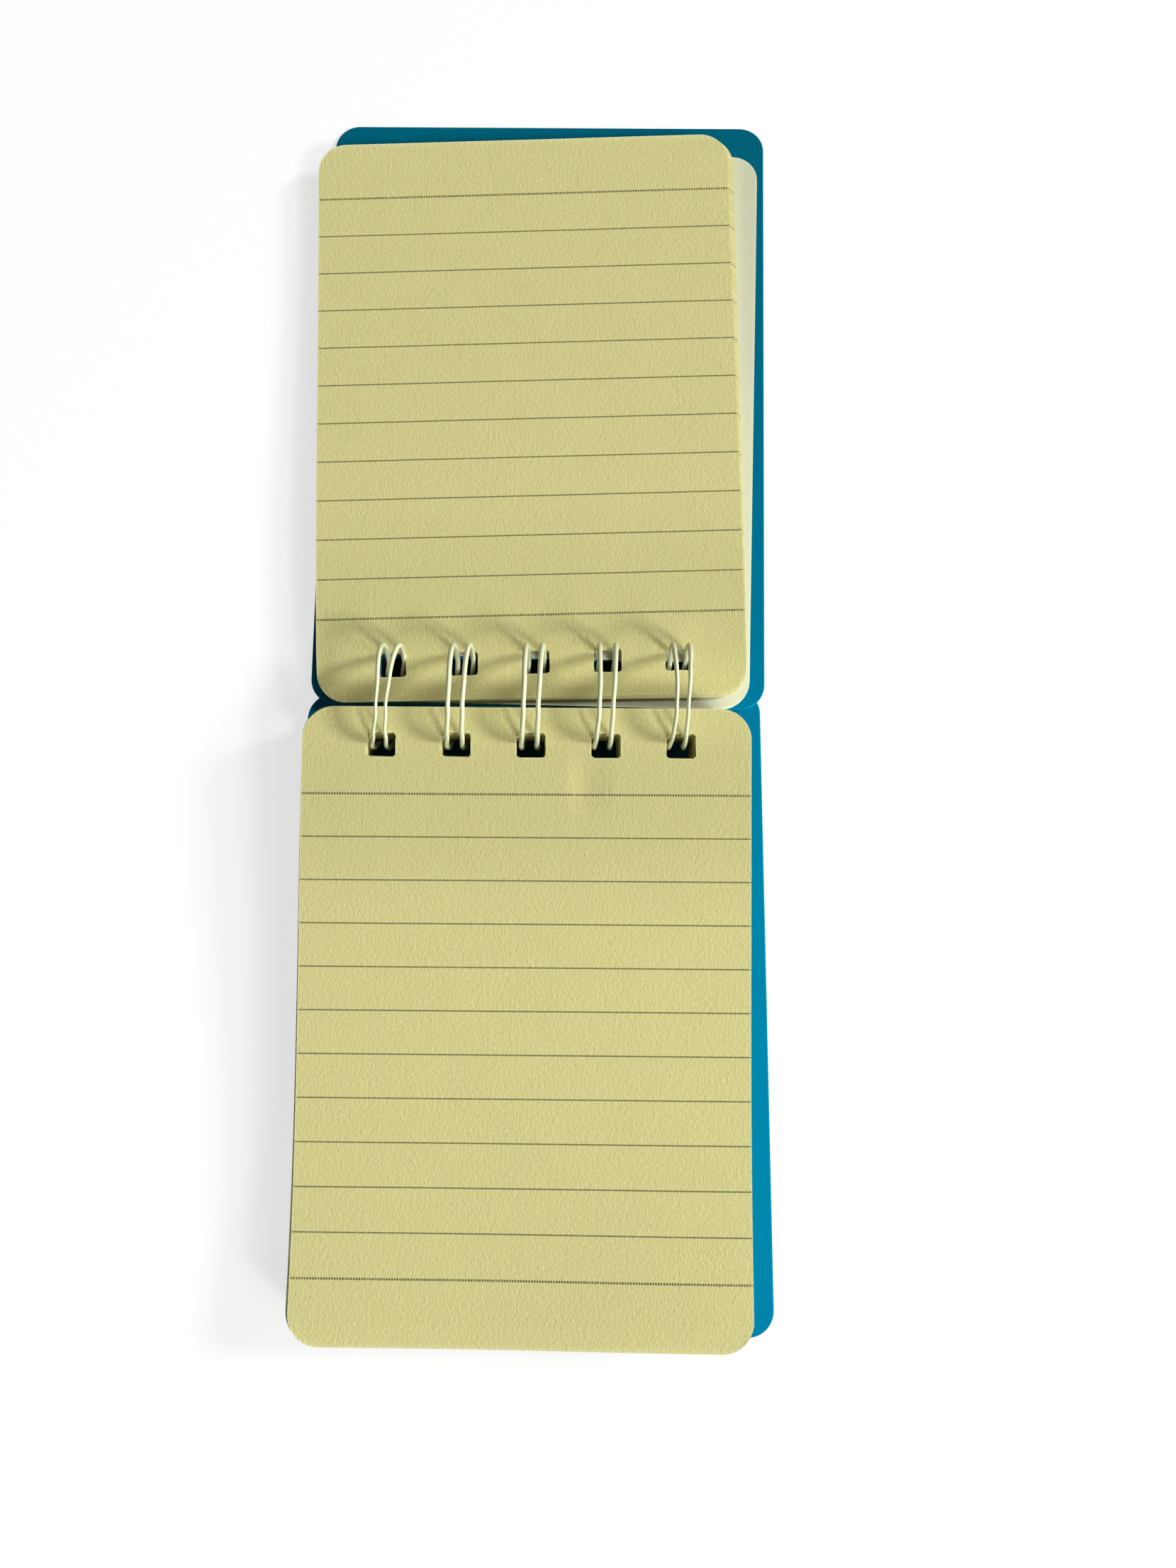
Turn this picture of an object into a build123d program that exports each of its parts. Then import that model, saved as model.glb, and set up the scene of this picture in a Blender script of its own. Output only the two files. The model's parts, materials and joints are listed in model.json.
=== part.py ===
import math
import os

from build123d import *

# Frame: X runs along the bound edge, +Y is the turned side, the table is z = 0,
# and the middle of the wire rings stands straight above the origin.

# Leaves and covers
leaf_width = 76.0
leaf_length = 105.0
leaf_corner = 5.2
leaf_thickness = 0.15
cover_width = 81.0
cover_length = 111.7
cover_corner = 4.5
cover_thickness = 0.8
cover_edge_round = 0.25
card_width = 76.4
card_thickness = 0.35

# Punched holes, the same row in every sheet
hole_width = 5.0
hole_height = 4.2
hole_corner = 0.7
hole_margin = 4.3
leaf_row_shift = 0.8
card_row_shift = 0.2

# Twin-loop wire
wire_diameter = 0.9
ring_radius = 8.85
loop_count = 5
loop_pitch = 12.7
loop_spread = 2.75
root_bend = 1.2
root_angle = 216.0
tip_angle = 233.0

# Small gaps between sheets and wire
cover_clearance = 0.35
cover_gap = 0.2
card_gap = 0.1
block_gap = 0.05
layer_lap = 0.03

# Heights of the paper above the table
block_ring_top = 12.9
block_middle_top = 10.3
block_far_top = 12.0
block_ring_bottom = 4.7
turned_bound_height = 4.9
turned_ring_height = 5.35
turned_middle_height = 5.2
turned_far_height = 5.0
card_curl_rise = 1.3
card_curl_width = 16.0

# Play of each sheet on the wire: towards the bound side, along it, and turn in degrees
front_cover_play = 0.15
back_cover_play = 0.3
card_play = 0.4
turned_play = 0.7
block_play = 0.4
front_cover_shift = 0.55
back_cover_shift = -0.15
card_shift = 0.3
block_shift = 0.1
front_cover_turn = -0.75
back_cover_turn = 0.7
card_turn = -1.5
block_turn = -0.2
turned_turns = (0.9, 1.15, 1.4)
turned_set_backs = (0.25, 0.12, 0.0)
turned_shifts = (0.5, 0.4, 0.3)

# Shares of the leaf length where the paper profile is given
ring_share = 0.08
middle_share = 0.5

# Derived sizes
wire_radius = wire_diameter / 2
ring_height = ring_radius + wire_radius
hole_offset = hole_margin + hole_height / 2
leaf_reach = leaf_length - hole_offset
cover_reach = cover_length - hole_offset


def ring_across(height):
    """Distance from the ring axis to the wire at a height above the table."""
    return math.sqrt(ring_radius**2 - (height - ring_height) ** 2)


def wire_inside(height):
    """Distance from the ring axis to the inner side of the wire at a height above the table."""
    return math.sqrt((ring_radius - wire_radius) ** 2 - (height - ring_height) ** 2)


# Back cover lies on the wire at the rings and on the table at its far end
back_lift = wire_diameter + cover_clearance
back_middle = back_lift + cover_thickness / 2
back_hole_y = -ring_across(back_middle) + back_cover_play
back_slope = math.degrees(math.asin(back_lift / cover_reach))

# Front cover laps over the back cover inside the rings
front_lift = back_lift + cover_thickness + cover_gap
front_middle = front_lift + cover_thickness / 2
front_hole_y = ring_across(front_middle) - front_cover_play
front_slope = -math.degrees(math.asin(front_lift / cover_reach))

# White card lies along the front cover
card_bottom = front_lift + cover_thickness + card_gap
card_hole_y = ring_across(card_bottom) - card_play

# Turned leaves and page block on their holes
turned_hole_y = ring_across(turned_ring_height) - turned_play
block_hole_y = -wire_inside(block_ring_bottom) - hole_height / 2 + block_play
block_bound_y = block_hole_y + hole_offset
block_far_y = block_hole_y - leaf_reach
back_top_far = back_lift + cover_thickness + (block_far_y - back_hole_y) * math.tan(math.radians(back_slope))
block_far_bottom = back_top_far + block_gap


def sheet_outline(width, length, corner, side, row_shift=0):
    """Rounded sheet with its row of holes, local origin in the middle of the row."""
    with Locations((-row_shift, side * (length / 2 - hole_offset))):
        RectangleRounded(width, length, corner)
    with GridLocations(loop_pitch, hole_height, loop_count, 1):
        RectangleRounded(hole_width, hole_height, hole_corner, mode=Mode.SUBTRACT)


def round_cover(part, plane):
    """Round the long outer edges of a cover on both faces."""
    outer = part.edges().filter_by(lambda edge: is_outer(edge, plane))
    fillet(outer, radius=cover_edge_round)


def is_outer(edge, plane):
    """True for the edges of the outline that lie in the two faces of a cover."""
    ends = [plane.to_local_coords(edge @ share) for share in (0, 1)]
    flat = abs(ends[0].Z - ends[1].Z) < cover_edge_round
    in_holes = all(abs(end.Y) <= hole_height / 2 + cover_edge_round for end in ends)
    inside = all(abs(end.X) < cover_width / 2 - cover_edge_round for end in ends)
    return flat and not (in_holes and inside)


# Front cover
front_place = (front_cover_shift, front_hole_y, front_middle)
front_plane = Plane(Location(front_place, (front_slope, 0, front_cover_turn)))
with BuildPart() as front_cover:
    with BuildSketch(front_plane):
        sheet_outline(cover_width, cover_length, cover_corner, 1)
    extrude(amount=cover_thickness / 2, both=True)
    round_cover(front_cover, front_plane)

# Back cover
back_place = (back_cover_shift, back_hole_y, back_middle)
back_plane = Plane(Location(back_place, (back_slope, 0, back_cover_turn)))
with BuildPart() as back_cover:
    with BuildSketch(back_plane):
        sheet_outline(cover_width, cover_length, cover_corner, -1)
    extrude(amount=cover_thickness / 2, both=True)
    round_cover(back_cover, back_plane)

# White card, curled up along its right edge
card_plane = Plane(Location((card_shift, card_hole_y, card_bottom), (front_slope, 0, card_turn)))
curl_plane = Plane(card_plane.origin, x_dir=card_plane.x_dir, z_dir=-card_plane.y_dir)
card_right = card_width / 2 - card_row_shift
curl_start = card_right - card_curl_width
curl_slope = 2 * card_curl_rise / card_curl_width
with BuildPart() as white_card:
    with BuildSketch(curl_plane):
        with BuildLine():
            floor_line = Line((-card_width, 0), (curl_start, 0))
            floor_curl = Spline(
                (curl_start, 0), (card_right, card_curl_rise), tangents=((1, 0), (1, curl_slope))
            )
            Line(floor_curl @ 1, floor_curl @ 1 + (0, card_thickness))
            roof_curl = Spline(
                (curl_start, card_thickness),
                (card_right, card_curl_rise + card_thickness),
                tangents=((1, 0), (1, curl_slope)),
            )
            roof_line = Line(roof_curl @ 0, (-card_width, card_thickness))
            Line(roof_line @ 1, floor_line @ 0)
        make_face()
    extrude(amount=leaf_length, both=True)
    with BuildSketch(card_plane):
        sheet_outline(card_width, leaf_length, leaf_corner, 1, card_row_shift)
    extrude(amount=ring_height, both=True, mode=Mode.INTERSECT)

# Turned leaves, fanned a little, laid one on the other
turned_bound_y = turned_hole_y - hole_offset
profile_points = [
    (turned_bound_y - hole_offset, turned_bound_height - (turned_ring_height - turned_bound_height) / 2),
    (turned_bound_y, turned_bound_height),
    (turned_bound_y + ring_share * leaf_length, turned_ring_height),
    (turned_bound_y + middle_share * leaf_length, turned_middle_height),
    (turned_bound_y + leaf_length + hole_offset, turned_far_height),
]
leaves = []
for layer, (turn, set_back, shift) in enumerate(zip(turned_turns, turned_set_backs, turned_shifts)):
    base = layer * leaf_thickness
    roof = base + leaf_thickness + layer_lap
    with BuildPart() as leaf:
        with BuildSketch(Plane.YZ):
            with BuildLine():
                lower = Spline(*[(y, z + base) for y, z in profile_points])
                upper = Spline(*[(y, z + roof) for y, z in profile_points])
                Line(lower @ 0, upper @ 0)
                Line(lower @ 1, upper @ 1)
            make_face()
        extrude(amount=leaf_width, both=True)
        leaf_hole_y = turned_hole_y - set_back
        with BuildSketch(Plane(Location((shift, leaf_hole_y, 0), (0, 0, turn)))):
            sheet_outline(leaf_width, leaf_length, leaf_corner, 1, leaf_row_shift)
        extrude(amount=2 * ring_height, mode=Mode.INTERSECT)
    leaves.append(leaf)
with BuildPart() as turned_leaves:
    for leaf in leaves:
        add(leaf.part)

# Page block, lifted at the rings and loose at its far end
with BuildPart() as page_block:
    with BuildSketch(Plane.YZ):
        with BuildLine():
            top_curve = Spline(
                (block_bound_y + hole_offset, block_ring_top),
                (block_hole_y, block_ring_top),
                (block_bound_y - middle_share * leaf_length, block_middle_top),
                (block_far_y - hole_offset, block_far_top),
            )
            bottom_line = Line(
                (block_bound_y + hole_offset, block_ring_bottom),
                (block_far_y - hole_offset, block_far_bottom),
            )
            Line(top_curve @ 0, bottom_line @ 0)
            Line(top_curve @ 1, bottom_line @ 1)
        make_face()
    extrude(amount=leaf_width, both=True)
    with BuildSketch(Plane(Location((block_shift, block_hole_y, 0), (0, 0, block_turn)))):
        sheet_outline(leaf_width, leaf_length, leaf_corner, -1, leaf_row_shift)
    extrude(amount=2 * ring_height, mode=Mode.INTERSECT)


def on_ring(x, angle, along=0):
    """Point of the ring at an angle from +Y, moved along its tangent."""
    turn = math.radians(angle)
    y = ring_radius * math.cos(turn) - along * math.sin(turn)
    z = ring_height + ring_radius * math.sin(turn) + along * math.cos(turn)
    return (x, y, z)


# Twin-loop wire, one run of wire with a hairpin for every loop
tip_turn = tip_angle - 360
half_turn = (root_angle + tip_turn) / 2
half_spread = loop_spread / 2
bend_share = math.sqrt(0.5)
bend_in = root_bend * (1 - bend_share)
with BuildPart() as twin_loop_wire:
    with BuildLine() as run:
        for loop in range(loop_count):
            middle = (loop - (loop_count - 1) / 2) * loop_pitch
            left = middle - half_spread
            right = middle + half_spread
            if loop > 0:
                ThreePointArc(
                    on_ring(left - root_bend, root_angle, root_bend),
                    on_ring(left - bend_in, root_angle, root_bend * bend_share),
                    on_ring(left, root_angle),
                )
            ThreePointArc(on_ring(left, root_angle), on_ring(left, half_turn), on_ring(left, tip_turn))
            ThreePointArc(
                on_ring(left, tip_turn),
                on_ring(middle, tip_turn, -half_spread),
                on_ring(right, tip_turn),
            )
            ThreePointArc(on_ring(right, tip_turn), on_ring(right, half_turn), on_ring(right, root_angle))
            if loop < loop_count - 1:
                following = left + loop_pitch
                ThreePointArc(
                    on_ring(right, root_angle),
                    on_ring(right + bend_in, root_angle, root_bend * bend_share),
                    on_ring(right + root_bend, root_angle, root_bend),
                )
                Line(
                    on_ring(right + root_bend, root_angle, root_bend),
                    on_ring(following - root_bend, root_angle, root_bend),
                )
    with BuildSketch(Plane(origin=run.line @ 0, z_dir=run.line % 0)):
        Circle(wire_radius)
    sweep(path=run.line)

os.makedirs("parts", exist_ok=True)

front_cover.part.label = "front_cover"
export_step(front_cover.part, "parts/front_cover.step")

back_cover.part.label = "back_cover"
export_step(back_cover.part, "parts/back_cover.step")

white_card.part.label = "white_card"
export_step(white_card.part, "parts/white_card.step")

turned_leaves.part.label = "turned_leaves"
export_step(turned_leaves.part, "parts/turned_leaves.step")

page_block.part.label = "page_block"
export_step(page_block.part, "parts/page_block.step")

twin_loop_wire.part.label = "twin_loop_wire"
export_step(twin_loop_wire.part, "parts/twin_loop_wire.step")
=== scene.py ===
"""Pocket notepad on a twin-loop wire, laid open, seen from above.

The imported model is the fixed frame: X runs along the bound edge, +Y is the turned side, the table is z = 0.
"""

import json
import math
import random

import bmesh
import bpy
from bpy.props import FloatProperty, FloatVectorProperty, IntProperty, PointerProperty
from mathutils import Euler, Matrix, Vector, noise
from mathutils.bvhtree import BVHTree


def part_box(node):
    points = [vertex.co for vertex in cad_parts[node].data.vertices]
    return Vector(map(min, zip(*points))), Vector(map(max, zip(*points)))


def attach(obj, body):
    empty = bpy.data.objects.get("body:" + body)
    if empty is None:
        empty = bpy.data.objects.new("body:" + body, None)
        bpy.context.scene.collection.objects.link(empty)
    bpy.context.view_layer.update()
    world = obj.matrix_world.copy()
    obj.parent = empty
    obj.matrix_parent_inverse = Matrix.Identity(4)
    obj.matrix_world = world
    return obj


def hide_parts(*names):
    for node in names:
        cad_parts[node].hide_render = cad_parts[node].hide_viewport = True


bl_info = {
    "name": "Twin-loop notepad",
    "version": (1, 0, 0),
    "blender": (4, 5, 0),
    "location": "View3D > Sidebar > Notepad",
    "description": "Builds the paper, wire and finishes of an open pocket notepad around its packed model",
    "category": "Add Mesh",
}

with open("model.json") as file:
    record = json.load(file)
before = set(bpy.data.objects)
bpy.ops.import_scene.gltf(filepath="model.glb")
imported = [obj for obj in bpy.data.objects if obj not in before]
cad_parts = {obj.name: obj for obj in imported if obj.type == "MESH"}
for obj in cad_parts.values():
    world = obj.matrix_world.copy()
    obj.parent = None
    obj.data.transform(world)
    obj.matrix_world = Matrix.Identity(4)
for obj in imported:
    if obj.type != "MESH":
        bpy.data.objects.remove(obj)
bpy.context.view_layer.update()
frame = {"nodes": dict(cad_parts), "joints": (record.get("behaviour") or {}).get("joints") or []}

MM = 0.001
RING_AXIS = Vector(frame["joints"][0]["pos_m"])

# Fineness of the meshes
FINE_STEP = 1.3 * MM
WIDE_STEP = 3.6 * MM
BLOCK_STEP = 6.0 * MM
FINE_REACH = 20.0 * MM
CUT_TOLERANCE = 1e-7
CORNER_SEGMENTS = 10
HOLE_CORNER_TURNS = (22.5, 45.0, 67.5)
WIRE_SIDES = 14
RING_STEPS = 72
BEND_STEPS = 10

# Half width and half height of the strip of the pad that the row of holes takes up
HOLE_STRIP = (34.0 * MM, 14.0 * MM)
# Distance from the ring axis that lies between a cover's bound edge and its holes
HOLE_START = 1.8 * MM
# A height well outside the pad
FAR = 1.0

# Soft waves of a leaf, and the dent beside a hole of the top page
BROAD_WAVE = 45.0 * MM
SMALL_WAVE = 14.0 * MM
DENT_HOLE = 3
DENT_ASIDE = 4.8 * MM
DENT_STEEP_SIDE = (-2.2 * MM, 1.2 * MM)
DENT_SOFT_SIDE = (1.2 * MM, 7.0 * MM)
DENT_BELOW = 6.5 * MM
DENT_HALF_LENGTH = 4.5 * MM

# Grain of the finishes, from one lump to the next
FIBRE_GRAIN = 0.4 * MM
COCKLE_GRAIN = 0.8 * MM
FLECK_GRAIN = 1.5 * MM
PAPER_CLOUD = 9.0 * MM
CARD_CLOUD = 12.0 * MM
COVER_GRAIN = 0.35 * MM
COVER_CLOUD = 22.0 * MM
SCUFF_GRAIN = 1.4 * MM
WIRE_RUN = 1.6 * MM
WIRE_KNOCK = 0.9 * MM

# Depth of the relief in the finishes
PAPER_RELIEF = 0.12 * MM
CLOUD_RELIEF = 0.5 * MM
CARD_RELIEF = 0.03 * MM
COVER_RELIEF = 0.02 * MM
RUN_RELIEF = 0.06 * MM
KNOCK_RELIEF = 0.03 * MM

# Rules: distance from dot to dot, thickness, and share of the length that is ink
THIN_RULE = (0.28 * MM, 0.24 * MM, 0.85)
BOLD_RULE = (0.45 * MM, 0.36 * MM, 0.7)
# Where the painted shade along a leaf's bound edge begins to fade, from that edge
BOUND_SHADE_START = 1.5 * MM
# Where the painted shade that deepens the blue of the covers begins, and where it is deepest, across the
# rings
COVER_SHADE_FADE = (-60.0 * MM, 105.0 * MM)


def length(name, description, default):
    """A size in millimetres, kept as a length."""
    return FloatProperty(name=name, description=description, default=default * MM, unit="LENGTH", precision=5)


def angle(name, description, default):
    """An angle in degrees, kept as a rotation."""
    return FloatProperty(name=name, description=description, default=math.radians(default), subtype="ANGLE")


def lengths(name, description, default):
    """A row of sizes in millimetres, one for each of a few like pieces."""
    return FloatVectorProperty(
        name=name,
        description=description,
        default=[size * MM for size in default],
        size=len(default),
        unit="LENGTH",
        precision=5,
    )


def colour(name, description, default):
    """A colour as light that a matt surface gives back."""
    return FloatVectorProperty(
        name=name, description=description, default=default, size=3, subtype="COLOR", min=0.0, max=1.0
    )


class NotepadSizes(bpy.types.PropertyGroup):
    """Sizes of the sheets and of the wire."""

    leaf_width: length("Leaf width", "Width of a leaf along the bound edge", 76.0)
    leaf_length: length("Leaf length", "Length of a leaf away from the wire", 105.0)
    leaf_corner: length("Leaf corner", "Radius of a leaf's rounded corners", 5.2)
    leaf_thickness: length("Leaf thickness", "Thickness of one leaf", 0.11)
    card_width: length("Card width", "Width of the white card along the bound edge", 76.4)
    card_thickness: length("Card thickness", "Thickness of the white card", 0.35)
    hole_width: length("Hole width", "Width of a punched hole along the bound edge", 5.0)
    hole_height: length("Hole height", "Height of a punched hole across the bound edge", 4.2)
    hole_corner: length("Hole corner", "Radius of a hole's corners", 0.7)
    hole_margin: length("Hole margin", "Paper between the holes and the bound edge", 4.3)
    hole_fray: length("Hole fray", "How far the punched edge wanders in and out", 0.07)
    leaf_row_shift: length("Leaf row shift", "How far a leaf lies to the left of its row of holes", 0.8)
    card_row_shift: length("Card row shift", "How far the card lies to the left of its row of holes", 0.2)
    rule_first: length("First rule", "Distance of the first rule from the bound edge", 14.7)
    rule_pitch: length("Rule pitch", "Distance from one rule to the next", 7.25)
    rule_count: IntProperty(name="Rules", description="Number of rules on a leaf", default=12, min=2)
    block_leaves: IntProperty(name="Block leaves", description="Leaves in the page block", default=52, min=2)
    loop_count: IntProperty(name="Loops", description="Number of wire loops and of holes", default=5, min=2)
    loop_pitch: length("Loop pitch", "Distance from one loop to the next", 12.7)
    loop_spread: length("Loop spread", "Distance between the two wires of a loop", 2.75)
    wire_diameter: length("Wire diameter", "Diameter of the coated wire", 0.9)
    ring_radius: length("Ring radius", "Radius of a ring at the middle of the wire", 8.85)
    root_bend: length("Root bend", "Radius of the bend at the foot of a loop", 1.2)
    root_angle: angle("Root angle", "Where the foot of a loop lies on the ring", 216.0)
    tip_angle: angle("Tip angle", "Where the tip of a loop lies on the ring", 233.0)


class NotepadLay(bpy.types.PropertyGroup):
    """How the sheets and the wire lie."""

    turned_row: length("Turned row", "Place of the turned leaves' holes across the rings", 6.95)
    turned_set_backs: lengths("Turned set-backs", "How far each turned leaf hangs back", (0.27, 0.13, 0.0))
    turned_shifts: lengths("Turned shifts", "Sideways play of each turned leaf", (0.45, 0.4, 0.35))
    turned_turns: FloatVectorProperty(
        name="Turned turns",
        description="Turn of each turned leaf on the wire",
        default=[math.radians(turn) for turn in (0.9, 1.15, 1.4)],
        size=3,
        subtype="EULER",
    )
    turned_droop: length("Turned droop", "How far the turned leaves hang at the bound edge", 0.5)
    fold_height: length("Fold height", "Height of the slanting fold beside each hole of a turned leaf", 0.22)
    fold_width: length("Fold width", "Width of the steep side of that fold", 3.4)
    fold_length: length("Fold length", "Length of that fold", 12.0)
    fold_angle: angle("Fold angle", "Direction of that fold from the bound edge", 153.0)
    block_row: length("Block row", "Place of the page block's holes across the rings", -9.0)
    block_shift: length("Block shift", "Sideways play of the page block", 0.1)
    block_lean: length("Block lean", "How far the lowest leaf lies to the left of the top page", 0.6)
    block_turn: angle("Block turn", "Turn of the page block on the wire", -0.27)
    block_under_turn: angle("Block under turn", "Turn of the leaves under the top page", -0.43)
    block_stray: length("Block stray", "How far a leaf of the block strays from its neighbours", 0.14)
    block_fan: angle("Block fan", "How far a leaf of the block turns from its neighbours", 0.1)
    page_wave: length("Page wave", "Height of the soft waves in a leaf", 0.09)
    dent_height: length("Dent height", "Height of the dent in the top page", 0.3)
    corner_lift: length("Corner lift", "Rise of the top page's far right corner", 1.1)
    card_row: length("Card row", "Place of the card's holes across the rings", 5.96)
    card_shift: length("Card shift", "Sideways play of the card", 0.3)
    card_turn: angle("Card turn", "Turn of the card on the wire", -1.5)
    card_curl: length("Card curl", "Rise of the card's right edge at its far end", 1.9)
    card_curl_width: length("Card curl width", "Width of the strip that curls", 18.0)
    loop_leans: lengths("Loop leans", "How far each loop leans sideways", (1.2, 0.7, 0.58, 0.6, 0.5))
    loop_shifts: lengths("Loop shifts", "Sideways slide of each loop", (0.05, 0.0, -0.03, -0.22, -0.25))
    loop_dips: lengths("Loop dips", "Dip of each loop at the turned leaves", (0.4, 0.25, 0.1, 0.0, 0.0))
    loop_pinches: FloatVectorProperty(
        name="Loop pinches",
        description="Share by which the two wires of each loop are pressed together at the top",
        default=(0.4, 0.12, 0.1, 0.17, 0.3),
        size=5,
        min=0.0,
        max=1.0,
    )
    pinch_angle: angle("Pinch angle", "Where on the ring the two wires of a loop are closest", 112.0)
    dip_angle: angle("Dip angle", "Where on the ring a loop is pressed in most", -32.0)


class NotepadColours(bpy.types.PropertyGroup):
    """Colours of the finishes."""

    paper: colour("Paper", "Yellow writing paper", (0.645, 0.610, 0.262))
    # Painted highlight: the cut edges are painted lighter than the paper, as where they catch the light
    paper_edge_highlight: colour("Paper edge", "Cut edge of the paper", (0.80, 0.76, 0.40))
    rule_ink: colour("Rule ink", "Ink of the rules", (0.045, 0.050, 0.022))
    # Painted shade: the bound strip of a leaf is painted darker and browner, as where shade falls on it
    bound_shade: colour("Bound grime", "Handling marks along the bound edge of a leaf", (0.50, 0.44, 0.16))
    card: colour("Card", "White card", (0.82, 0.835, 0.598))
    # Painted shade: the card's bound edge is painted grey, as where the leaves shade it
    card_bound_shade: colour("Card grime", "Handling marks along the bound edge of the card", (0.36, 0.36, 0.26))
    cover: colour("Cover", "Blue plastic of the covers", (0.0, 0.204, 0.380))
    # Painted shade: the front cover's far end is painted a deeper blue, as where less light falls
    cover_far_shade: colour("Cover far end", "Deeper blue at the front cover's far end", (0.0, 0.122, 0.192))
    # Painted glow: the covers' outer edges are painted a lighter blue, as where light comes through them
    cover_edge_highlight: colour("Cover edge", "Outer edge of a cover, where light comes through", (0.0, 0.44, 0.70))
    wire: colour("Wire", "Cream coating of the wire", (0.76, 0.79, 0.53))
    floor: colour("Floor", "Table, before its glow", (0.31, 0.31, 0.31))


def smooth(low, high, value):
    """Soft rise from 0 at one value to 1 at another."""
    share = min(max((value - low) / (high - low), 0.0), 1.0)
    return share * share * (3.0 - 2.0 * share)


def hole_middles(sizes):
    """Middles of the holes, and of the loops, along the bound edge."""
    return [(hole - (sizes.loop_count - 1) / 2) * sizes.loop_pitch for hole in range(sizes.loop_count)]


def hole_offset(sizes):
    """Distance from the bound edge to the middle of the row of holes."""
    return sizes.hole_margin + sizes.hole_height / 2


def places_between(anchors, step):
    """Places about one step apart between the first and the last anchor, each anchor among them."""
    places = []
    for start, stop in zip(anchors, anchors[1:]):
        count = max(1, round((stop - start) / step))
        places += [start + (stop - start) * part / count for part in range(1, count + 1)]
    return places


def slice_sheet(bm, places, across):
    """Cut a flat sheet straight through at each place along a direction."""
    for place in places:
        bmesh.ops.bisect_plane(
            bm,
            geom=bm.verts[:] + bm.edges[:] + bm.faces[:],
            dist=CUT_TOLERANCE,
            plane_co=across * place,
            plane_no=across,
        )


def faces_in_hole(bm, middle, sizes):
    """Faces of a flat sheet that lie in the straight outline of a hole."""
    found = []
    for face in bm.faces:
        centre = face.calc_center_median()
        if abs(centre.x - middle) < sizes.hole_width / 2 and abs(centre.y) < sizes.hole_height / 2:
            found.append(face)
    return found


def punch_hole(bm, middle, sizes):
    """Punch one hole with rounded corners through a flat sheet that is sliced along the hole's sides."""
    cuts = []
    for side_x in (-1, 1):
        for side_y in (-1, 1):
            corner_x = middle + side_x * (sizes.hole_width / 2 - sizes.hole_corner)
            corner_y = side_y * (sizes.hole_height / 2 - sizes.hole_corner)
            for turn in HOLE_CORNER_TURNS:
                bend = math.radians(turn)
                out = Vector((side_x * math.cos(bend), side_y * math.sin(bend), 0))
                cuts.append((Vector((corner_x, corner_y, 0)) + out * sizes.hole_corner, out))
    for point, out in cuts:
        faces = faces_in_hole(bm, middle, sizes)
        edges = {edge for face in faces for edge in face.edges}
        verts = {vert for face in faces for vert in face.verts}
        bmesh.ops.bisect_plane(
            bm, geom=[*faces, *edges, *verts], dist=CUT_TOLERANCE, plane_co=point, plane_no=out
        )
    waste = []
    for face in faces_in_hole(bm, middle, sizes):
        centre = face.calc_center_median()
        if all((centre - point).dot(out) < 0 for point, out in cuts):
            waste.append(face)
    bmesh.ops.delete(bm, geom=waste, context="FACES")


def fray_holes(bm, sizes, chance):
    """Let the punched edges wander a little."""
    reach = sizes.hole_height / 2 + CUT_TOLERANCE
    inner = sizes.leaf_width / 2 - sizes.hole_margin
    for vert in bm.verts:
        if vert.is_boundary and abs(vert.co.y) <= reach and abs(vert.co.x) < inner:
            vert.co.x += chance.uniform(-sizes.hole_fray, sizes.hole_fray)
            vert.co.y += chance.uniform(-sizes.hole_fray, sizes.hole_fray)


def flat_leaf(sizes, side, fine_step, wide_step, chance):
    """Flat yellow leaf with its holes."""
    return flat_sheet(sizes, sizes.leaf_width, sizes.leaf_row_shift, side, fine_step, wide_step, chance)


def flat_sheet(sizes, width, row_shift, side, fine_step, wide_step, chance):
    """Flat sheet with rounded corners and a row of holes, the middle of the row at the origin.

    Each point keeps its place on the leaf, and whether it lies on a cut edge, for the paper's finish.
    """
    offset = hole_offset(sizes)
    bm = bmesh.new()
    bmesh.ops.create_grid(bm, x_segments=1, y_segments=1, size=0.5)
    bmesh.ops.scale(bm, verts=bm.verts, vec=(width, sizes.leaf_length, 1))
    bmesh.ops.bevel(
        bm,
        geom=bm.verts[:],
        offset=sizes.leaf_corner,
        offset_type="OFFSET",
        segments=CORNER_SEGMENTS,
        profile=0.5,
        affect="VERTICES",
        material=-1,
    )
    bmesh.ops.translate(bm, verts=bm.verts, vec=(-row_shift, side * (sizes.leaf_length / 2 - offset), 0))

    left = -row_shift - width / 2
    hole_sides = [middle + way * sizes.hole_width / 2 for middle in hole_middles(sizes) for way in (-1, 1)]
    columns = places_between([left, *hole_sides, left + width], fine_step)[:-1]
    slice_sheet(bm, columns, Vector((1, 0, 0)))
    half_hole = sizes.hole_height / 2
    near_rows = places_between([-offset, -half_hole, half_hole, FINE_REACH], fine_step)
    far_rows = places_between([FINE_REACH, sizes.leaf_length - offset], wide_step)[:-1]
    slice_sheet(bm, near_rows + far_rows, Vector((0, side, 0)))

    for middle in hole_middles(sizes):
        punch_hole(bm, middle, sizes)
    place = bm.verts.layers.float_vector.new("leaf_place")
    rim = bm.verts.layers.float.new("leaf_rim")
    for vert in bm.verts:
        vert[place] = (vert.co.x, side * vert.co.y + offset, 0)
        vert[rim] = 1.0 if vert.is_boundary else 0.0
    fray_holes(bm, sizes, chance)
    return bm


def thicken(bm, thickness):
    """Give open sheets their thickness, downwards, and close them."""
    made = bmesh.ops.extrude_face_region(bm, geom=bm.faces[:])
    lower = [item for item in made["geom"] if isinstance(item, bmesh.types.BMVert)]
    bmesh.ops.translate(bm, verts=lower, vec=(0, 0, -thickness))
    bmesh.ops.recalc_face_normals(bm, faces=bm.faces[:])


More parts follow.
